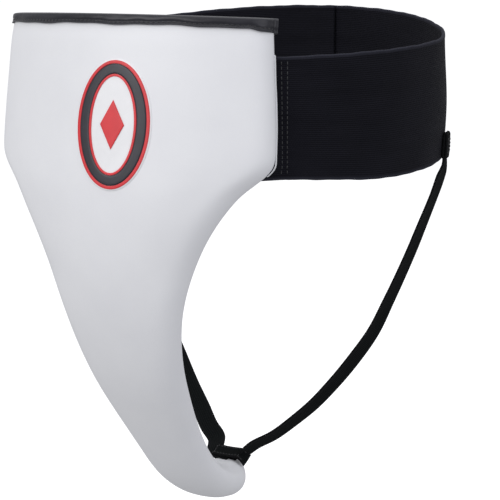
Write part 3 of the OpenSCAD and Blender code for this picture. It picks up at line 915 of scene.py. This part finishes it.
def make_belt(side_name, side):
    body = "belt_" + side_name
    lap, face = (LAP_LEN, lapped_face) if side < 0 else (0, belt_face)
    size = (BELT_LEN - ROOT_START + lap, BELT_H)
    place = mirrored(face, side)
    belt = pad("elastic_" + side_name, size, place, belt_half_t, 0.9, (2.2, 1.6))
    dress(belt, ELASTIC, "elastic", None, body)
    drops = np.linspace(3, BELT_H - 3, 200)
    seams = [row_on(place, a, drops, BELT_T / 2) for a in BELT_SEAMS]
    sewn = sew("seam_stitches_" + side_name, seams, SEAM_STITCH, "elastic")
    for piece in (belt, sewn):
        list(blend_ends(place, BELT_H / 2, 0.0, BLEND_END - ROOT_START))
        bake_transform(piece)


# ======== the white piping where the belt is sewn in ========

PIPING_FROM = 19
PIPING_TO = 92
PIPING_W = 5.2
PIPING_T = 1.1


def piping_point(a, b, n):
    """A narrow strip from the cover's side over the belt's first stretch."""
    s = PIPING_FROM + a
    t = b / PIPING_W
    start = edge_point(s, 14.0, 0.1)
    middle = edge_point(s, -14.0, 1.7)
    root = edge_point(s, ROOT_ANGLE, 0.0)
    out = unit(edge_point(s, -14.0, 3.0) - edge_point(s, -14.0, 0.0))
    end = root + 0.9 * out
    t = t[..., None]
    line = start * (1 - t) ** 2 + 2 * middle * t * (1 - t) + end * t**2
    bulge = 0.35 * np.sin(s / 7.0) + 0.2 * np.sin(s / 3.1)
    return line + out * (n + bulge * t[..., 0] * (1 - t[..., 0]))[..., None]


# ======== straps ========

RIB_COUNT = 9
RIB_DEPTH = 0.16
STRAP_START_LIFT = 2.0
FOLD_GAP = 1.62
FOLD_BULGE = 0.3
LAYER_OFF = BELT_T / 2 + 0.3 + STRAP_T / 2


def ribbed(a, b):
    return STRAP_T / 2 - RIB_DEPTH * (1 - np.abs(np.sin(math.pi * b / STRAP_W * RIB_COUNT))) + 0.04


anchor_rad = math.radians(ANCHOR_HEADING)
anchor_u = SIDE_R * (anchor_rad - math.radians(SEAM_HEADING))
anchor_z = float(belt_top(np.array(anchor_u))) - BELT_H


def anchor_point(off, z):
    """A point at the strap's anchor, z over the belt's lower edge."""
    plan = belt_plan(np.array(anchor_u), off + belt_bow(np.array(anchor_u), BELT_H - z))
    return np.array([plan[0], plan[1], anchor_z + z])


# The strap ends lie across the tail's curled end, under the band
BAND_S = 396
BAND_N = -12.0
BAND_LEFT = 19
BAND_RIGHT = 19.5
BAND_FLAT = 11
BAND_BEND = (7.0, 5.2)
LAYER_N = {"right": -9.0, "left": -10.6}
LAND_WAY = unit(surf(BAND_S + 5, 0, BAND_N) - surf(BAND_S - 5, 0, BAND_N))
LAND_LEN = 8
# The strap's end comes down slantwise: (distance across the tip, share of the rise past the band's middle)
LANDING = ((14, 1), (6, 0.5), (-3, 0))
LAND_RISE = {"right": 6.5, "left": 1.5}
TWIST_LEN = 9
TOP_WAY = (math.cos(anchor_rad), math.sin(anchor_rad), 0)
# Direction across each strap, as (distance from the belt, direction)
UPPER_WAYS = [
    (0, TOP_WAY), (3, TOP_WAY), (14, (0.02, 0.99, 0.12)), (29, (0.07, 0.98, 0.19)), (60, (0.11, 0.99, 0.06)),
    (100, (0.16, 0.98, -0.05)), (121, (0.19, 0.97, -0.14)),
]
LOWER_WAYS = {
    "right": [(156, (0.26, 0.91, -0.34)), (205, (0.11, 0.87, -0.49)), (242, (-0.08, 0.82, -0.57))],
    "left": [(150, (-0.25, 0.93, 0.1)), (185, (-0.7, 0.6, 0.3)), (248, (-0.7, 0.56, 0.41))],
}


class Strap:
    """One leg strap's middle line and the direction across it, drawn on the right side."""

    def __init__(self, side_name):
        layer = LAYER_N[side_name]
        top = [anchor_point(LAYER_OFF, STRAP_START_LIFT), anchor_point(LAYER_OFF, -4)]
        landing = [surf(BAND_S + share * LAND_RISE[side_name], x, layer) for x, share in LANDING]
        self.line = spline([*top, *STRAP_ROUTE, (16.5, 14, -246.5), *landing], 12)
        self.far = distances(self.line)
        self.length = float(self.far[-1])
        lower = LOWER_WAYS[side_name]
        landed = self.length - LAND_LEN
        end_ways = [(landed - TWIST_LEN, lower[-1][1]), (landed, LAND_WAY), (self.length, LAND_WAY)]
        ways = UPPER_WAYS + lower + end_ways
        self.ways = [[(at, way[k]) for at, way in ways] for k in range(3)]

    def middle(self, a):
        return along(self.line, self.far, a)

    def place(self, a, b, n):
        way = unit(self.middle(a + 2) - self.middle(a - 2))
        side = np.stack([curve(table, a) for table in self.ways], -1)
        side = unit(side - way * np.sum(side * way, -1, keepdims=True))
        out = np.cross(way, side)
        wave = 0.3 * np.sin(a / 11.0) * smooth(a / 30) * smooth((self.length - a) / 30)
        cup = 0.35 * ((2 * b / STRAP_W - 1) ** 2)
        return self.middle(a) + side * (b - STRAP_W / 2)[..., None] + out * (n + wave + cup)[..., None]


# The folded end: up along the belt, over, and down to a cut end, as (offset, height over the belt's edge)
FOLD_OUT = LAYER_OFF + FOLD_GAP
FOLD_PATH = (
    (LAYER_OFF, 0.6), (LAYER_OFF, 6), (LAYER_OFF, 12), (LAYER_OFF + 0.05, FOLD_H - 1.2),
    (LAYER_OFF + FOLD_GAP / 2, FOLD_H), (FOLD_OUT, FOLD_H - 1.2), (FOLD_OUT + 0.1, 13),
    (FOLD_OUT + FOLD_BULGE, 8), (FOLD_OUT + FOLD_BULGE, 4), (FOLD_OUT + 0.1, 0.2),
)
fold_line = spline(FOLD_PATH, 6)
fold_far = distances(fold_line)
FOLD_LEN = float(fold_far[-1])


def fold_point(a, b, n):
    way = unit(along(fold_line, fold_far, a + 0.5) - along(fold_line, fold_far, a - 0.5))
    middle = along(fold_line, fold_far, a)
    off, z = middle[..., 0] - way[..., 1] * n, middle[..., 1] + way[..., 0] * n
    u = anchor_u + b - STRAP_W / 2
    plan = belt_plan(u, off + belt_bow(u, BELT_H - z))
    return np.concatenate([plan, (anchor_z + z)[..., None]], -1)


def band_point(a, b, n):
    """The band runs straight on from the tail and bends down over its two rims."""
    w = a - BAND_LEFT
    past = np.maximum(np.abs(w) - BAND_FLAT, 0)
    turn = past / BAND_BEND[0]
    x = np.sign(w) * (np.minimum(np.abs(w), BAND_FLAT) + (BAND_BEND[1] + n) * np.sin(turn))
    puffed = BAND_N - 0.5 * np.cos(math.pi * np.clip(w / 2 / BAND_FLAT, -0.5, 0.5))
    return surf(BAND_S + b - STRAP_W / 2, x, (puffed - n) * np.cos(turn))


def make_strap(side_name, side):
    body = "belt_" + side_name
    strap = Strap(side_name)
    place = mirrored(strap.place, side)
    webbing = pad("strap_" + side_name, (strap.length, STRAP_W), place, ribbed, 0.5, (2.5, 0.36))
    dress(webbing, WEBBING, "webbing", None, "leg_strap_" + side_name)
    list(blend_ends(place, STRAP_W / 2, strap.length - LAND_LEN, 0.0))
    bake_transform(webbing)
    turned = mirrored(fold_point, side)
    fold = pad("strap_fold_" + side_name, (FOLD_LEN, STRAP_W), turned, ribbed, 0.5, (0.7, 0.36))
    dress(fold, WEBBING, "webbing", body, "strap_end_" + side_name)
    low, high = FOLD_LEN - 4, FOLD_LEN - 13
    box = [row_on(turned, np.linspace(high, low, 40), b, STRAP_T / 2) for b in (2.0, STRAP_W - 2.0)]
    box += [row_on(turned, a, np.linspace(2, STRAP_W - 2, 40), STRAP_T / 2) for a in (high, low)]
    sew("fold_stitches_" + side_name, box, WEB_STITCH, "webbing", body)


def make_piping(side_name, side):
    size = (PIPING_TO - PIPING_FROM, PIPING_W)
    piping = pad("piping_" + side_name, size, mirrored(piping_point, side), PIPING_T / 2, 0.9, (1.6, 0.5))
    dress(piping, WHITE_PU, "white_pu", "guard", "seam_tape_" + side_name)


for side_name, side in SIDES.items():
    make_belt(side_name, side)
    make_strap(side_name, side)
    make_piping(side_name, side)

band_len = BAND_LEFT + BAND_RIGHT
band = pad("tip_band", (band_len, STRAP_W), band_point, ribbed, 0.5, (0.9, 0.36))
dress(band, WEBBING, "webbing", "guard", "tip_loop")
band_long, band_wide = np.linspace(2, band_len - 2, 120), np.linspace(2, STRAP_W - 2, 40)
band_rows = [row_on(band_point, band_long, b, STRAP_T / 2) for b in (2.0, STRAP_W - 2.0)]
band_rows += [row_on(band_point, a, band_wide, STRAP_T / 2) for a in (6, band_len - 6)]
sew("band_stitches", band_rows, WEB_STITCH, "webbing", "guard")

# ======== the rear closure ========

BASE_LEN = 28.7
BASE_T = 1.6
GRIP_LEN = 12
GRIP_T = TAB_T + 1.0
CLOSE_TOP = (BELT_H - TAB_H) / 2
LOOP_OFF = BELT_T / 2 + SEWN_GAP
HOOK_OFF = LOOP_OFF + PATCH_T + 0.3
TAB_OFF = HOOK_OFF + PATCH_T + SEWN_GAP
REAR_U = SIDE_LEN + REAR_R * math.radians(180 - REAR_HEADING)


def rear_place(start, inner, thickness, drop_top, side):
    """Places for a patch on the belt's outer face: a runs away from the back's middle, b down."""

    def place(a, b, n):
        off = inner + thickness / 2 + n
        plan = belt_plan(REAR_U - np.abs(start + a), off)
        x = plan[..., 0] * np.where(start + a < 0, -1, 1) * side
        z = belt_top(REAR_U - np.abs(start + a)) - (drop_top + b)
        return np.stack([x, plan[..., 1], z], -1)

    return place


def box_rows(place, length, width, inset, n):
    """A stitched rectangle inside a patch's edge."""
    long, wide = np.linspace(inset, length - inset, 120), np.linspace(inset, width - inset, 120)
    rows = [row_on(place, long, b, n) for b in (inset, width - inset)]
    return rows + [row_on(place, a, wide, n) for a in (inset, length - inset)]


def patch(name, start, length, inner, thickness, margin, side, material, slot, body, node, rim=0.45):
    width = TAB_H - 2 * margin
    place = rear_place(start, inner, thickness, CLOSE_TOP + margin, side)
    made = pad(name, (length, width), place, thickness / 2, rim, (2.0, 1.5))
    dress(made, material, slot, body, node)
    return place, width


base_place, base_w = patch(
    "tab_base_web", 1.3, BASE_LEN, LOOP_OFF, BASE_T, 0, -1, WEBBING, "webbing", "belt_left", "tab_base"
)
base_rows = box_rows(base_place, BASE_LEN, base_w, 2.6, BASE_T / 2)
sew("tab_base_stitches", base_rows, BASE_STITCH, "webbing", "belt_left")
loop_place, loop_w = patch(
    "loop_panel", 5, TAB_LEN - 5, LOOP_OFF, PATCH_T, 2, 1, LOOPS, "loop_tape", "belt_right", "loop_patch"
)
loop_rows = box_rows(loop_place, TAB_LEN - 5, loop_w, 2.0, PATCH_T / 2)
sew("loop_stitches", loop_rows, SEAM_STITCH, "loop_tape", "belt_right")
patch(
    "hook_panel", 7, TAB_LEN - 13, HOOK_OFF, PATCH_T, 3, 1, HOOKS, "hook_tape", "closure_tab", "hook_patch"
)

# The tab's elastic starts on the other belt half, where it is sewn to the tab base
TAB_SEWN = 14
TAB_ROOT_OFF = LOOP_OFF + TAB_T + 0.1


def tab_point(a, b, n):
    at = a - TAB_SEWN
    inner = TAB_ROOT_OFF + (TAB_OFF - TAB_ROOT_OFF) * smooth((at + 2) / 8)
    plan = belt_plan(REAR_U - np.abs(at), inner + TAB_T / 2 + n)
    x = plan[..., 0] * np.sign(at + 1e-9)
    return np.stack([x, plan[..., 1], belt_top(REAR_U - np.abs(at)) - (CLOSE_TOP + b)], -1)


tab_size = (TAB_SEWN + TAB_LEN - 0.5, TAB_H)
tab = pad("tab_elastic", tab_size, tab_point, TAB_T / 2, 0.6, (2.0, 1.5))
dress(tab, ELASTIC, "elastic", None, "closure_tab")
tab_rows = [row_on(tab_point, np.linspace(2, 76, 200), b, TAB_T / 2) for b in (6.0, TAB_H - 6.0)]
tab_rows += [row_on(tab_point, a, np.linspace(3, TAB_H - 3, 120), TAB_T / 2) for a in (3, 9, 24, 27)]
tab_sewn = sew("tab_stitches", tab_rows, SEAM_STITCH, "elastic")
for piece in (tab, tab_sewn):
    ends = blend_ends(tab_point, TAB_H / 2, TAB_SEWN - 1.5, TAB_SEWN + 6.5)
    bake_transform(piece)
grip_place, grip_w = patch(
    "tab_end", TAB_LEN - 6, GRIP_LEN, TAB_OFF - 0.5, GRIP_T, 0, 1, BLACK_PU, "black_pu", "closure_tab",
    "tab_grip", 1.0,
)
grip_rows = box_rows(grip_place, GRIP_LEN, grip_w, 2.2, GRIP_T / 2)
sew("grip_stitches", grip_rows, SEAM_STITCH, "black_pu", "closure_tab")

# ======== the badge ========

BADGE_PLATE_T = 0.6
BADGE_TRIM_T = 0.5
BADGE_FACETS = 120


def badge_point(v, u, n):
    return over_cover(BADGE_S + v, BADGE_X + u, n)


def badge_rings(half_h, half_w, height):
    """Closed rings round the badge, and their vertex numbers with the first row repeated at the end."""
    turn = np.arange(BADGE_FACETS) / BADGE_FACETS * 2 * math.pi
    v, u = -half_h * np.cos(turn)[:, None], half_w * np.sin(turn)[:, None]
    ids = np.arange(v.size).reshape(v.shape)
    points = badge_point(v, u, np.broadcast_to(height, v.shape))
    return points.reshape(-1, 3), np.concatenate([ids, ids[:1]], 0)


def oval_ring(name, outer, inner, low, high):
    """A ring between two insets from the badge's rim, with a rounded upper face."""
    across = np.array([-1, -1, -0.93, -0.7, -0.35, 0, 0.35, 0.7, 0.93, 1, 1])
    rise = np.array([0, 0.6, 0.88, 1, 1, 1, 1, 1, 0.88, 0.6, 0])
    inset = (outer + inner) / 2 + (inner - outer) / 2 * across
    points, ids = badge_rings(BADGE_HALF_H - inset, BADGE_HALF_W - inset, low + (high - low) * rise)
    return finish_mesh(name, points, grid_faces(np.concatenate([ids, ids[:, :1]], 1)))


def oval_plate(name, low, high):
    """The badge's base: a thin oval with a rounded rim."""
    share = np.array([0.02, 0.2, 0.4, 0.6, 0.75, 0.85, 0.93, 0.975, 0.992, 1.0, 1.0, 0.9, 0.5, 0.02])
    rise = np.array([1, 1, 1, 1, 1, 1, 1, 0.97, 0.85, 0.6, 0, 0, 0, 0])
    points, ids = badge_rings(BADGE_HALF_H * share, BADGE_HALF_W * share, low + (high - low) * rise)
    ends = [ids[:-1, 0].tolist(), ids[:-1, -1][::-1].tolist()]
    return link_mesh(name, points, grid_faces(ids).tolist() + ends)


def diamond_point(a, b, n):
    v, u = (a + b) / 20 - 1, (a - b) / 20
    return badge_point(v * 15, u * 8, BADGE_PLATE_T + BADGE_TRIM_T / 2 + n)


PLATE_LOW = -0.3
dress(oval_plate("badge_plate", PLATE_LOW, BADGE_PLATE_T), PLATE, "badge_white", "guard", "badge_base")
for name, outer, inner, material, slot, node in (
    ("badge_rim", 1.0, 3.0, RED, "badge_red", "badge_outline"),
    ("badge_dark_ring", 3.1, 9.2, INK, "badge_black", "badge_ring"),
    ("badge_line", 9.3, 10.8, RED, "badge_red", "badge_inner_line"),
):
    ring = oval_ring(name, outer, inner, BADGE_PLATE_T - 0.1, BADGE_PLATE_T + BADGE_TRIM_T)
    dress(ring, material, slot, "guard", node)
diamond = pad("badge_centre", (20, 20), diamond_point, BADGE_TRIM_T / 2 + 0.05, 0.8, (2, 2))
dress(diamond, RED, "badge_red", "guard", "badge_diamond")

# ======== CAD pieces that show their own shape ========

for node, material in (
    ("impact_foam", FOAM_PALE),
    ("abdomen_pad", FOAM_SOFT),
    ("cup_liner", FOAM_SOFT),
    ("tail_pad", FOAM_SOFT),
    ("hard_cup", CUP_SHELL),
):
    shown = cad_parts[node]
    shown.data.materials.clear()
    shown.data.materials.append(material)

# ======== camera, floor and light ========

VIEW_AZIMUTH = 31.52
VIEW_ELEVATION = 9.33
VIEW_DISTANCE = 1217.1
VIEW_TARGET = np.array([28.09, -13.26, -104.09])
VIEW_LENS = 130.5
FLOOR_DROP = 0.12
FLOOR_RADIUS = 40.0


def make_camera():
    az, el = math.radians(VIEW_AZIMUTH), math.radians(VIEW_ELEVATION)
    back = np.array([math.sin(az) * math.cos(el), -math.cos(az) * math.cos(el), math.sin(el)])
    data = bpy.data.cameras.new("camera")
    data.lens = VIEW_LENS
    data.sensor_width = 36
    data.clip_start, data.clip_end = 0.01, 200
    camera = bpy.data.objects.new("camera", data)
    bpy.context.scene.collection.objects.link(camera)
    camera.location = Vector((VIEW_TARGET + VIEW_DISTANCE * back) * MM)
    camera.rotation_mode = "QUATERNION"
    camera.rotation_quaternion = Vector(-back).to_track_quat("-Z", "Y")
    bpy.context.scene.camera = camera


def make_floor():
    bpy.ops.mesh.primitive_circle_add(vertices=96, radius=FLOOR_RADIUS, fill_type="NGON")
    floor = bpy.context.object
    floor.name = "studio_floor"
    floor.location = (0, 0, cad_low.z - FLOOR_DROP)
    sh = Shader("studio_floor")
    tone = sh.noise(sh.place(), 0.004, 2.0)
    sh.put(sh.bsdf.inputs["Base Color"], sh.mix(tone, (0.84, 0.84, 0.845), (0.86, 0.86, 0.865)))
    sh.bsdf.inputs["Roughness"].default_value = 0.9
    sh.bsdf.inputs["Emission Color"].default_value = (1, 1, 1, 1)
    sh.bsdf.inputs["Emission Strength"].default_value = 0.5
    floor.data.materials.append(sh.material)
    floor.visible_diffuse = False
    floor.visible_glossy = False


def area_light(name, at, towards, size, watts, colour):
    data = bpy.data.lights.new(name, "AREA")
    data.shape = "RECTANGLE"
    data.size, data.size_y = size
    data.energy = watts
    data.color = colour
    lamp = bpy.data.objects.new(name, data)
    bpy.context.scene.collection.objects.link(lamp)
    lamp.location = at
    lamp.rotation_euler = (Vector(towards) - Vector(at)).to_track_quat("-Z", "Y").to_euler()


def make_world():
    """A pale studio sky, brighter overhead than below."""
    world = bpy.data.worlds.new("studio")
    bpy.context.scene.world = world
    world.use_nodes = True
    tree = world.node_tree
    sky = tree.nodes["Background"]
    at = tree.nodes.new("ShaderNodeTexCoord")
    split = tree.nodes.new("ShaderNodeSeparateXYZ")
    tree.links.new(at.outputs["Generated"], split.inputs[0])
    ramp = tree.nodes.new("ShaderNodeMapRange")
    for key, value in (("From Min", -0.5), ("From Max", 0.6), ("To Min", 0.5), ("To Max", 0.66)):
        ramp.inputs[key].default_value = value
    tree.links.new(split.outputs[2], ramp.inputs["Value"])
    tree.links.new(ramp.outputs[0], sky.inputs["Strength"])
    sky.inputs["Color"].default_value = (0.97, 0.975, 1.0, 1)


make_camera()
make_floor()
make_world()
# Name, place, target, size, watts and colour
for light in (
    ("key", (-0.7, -2.2, 0.9), (0, -0.05, -0.1), (1.6, 1.6), 25, (1, 0.995, 0.985)),
    ("top", (0.1, -0.2, 2.0), (0, 0, 0), (2.0, 2.0), 12, (0.98, 0.985, 1)),
    ("fill", (2.2, -0.6, 0.6), (0.05, 0, -0.05), (1.4, 1.8), 11, (0.93, 0.94, 1)),
):
    area_light(*light)
bpy.context.scene.view_settings.view_transform = "Standard"
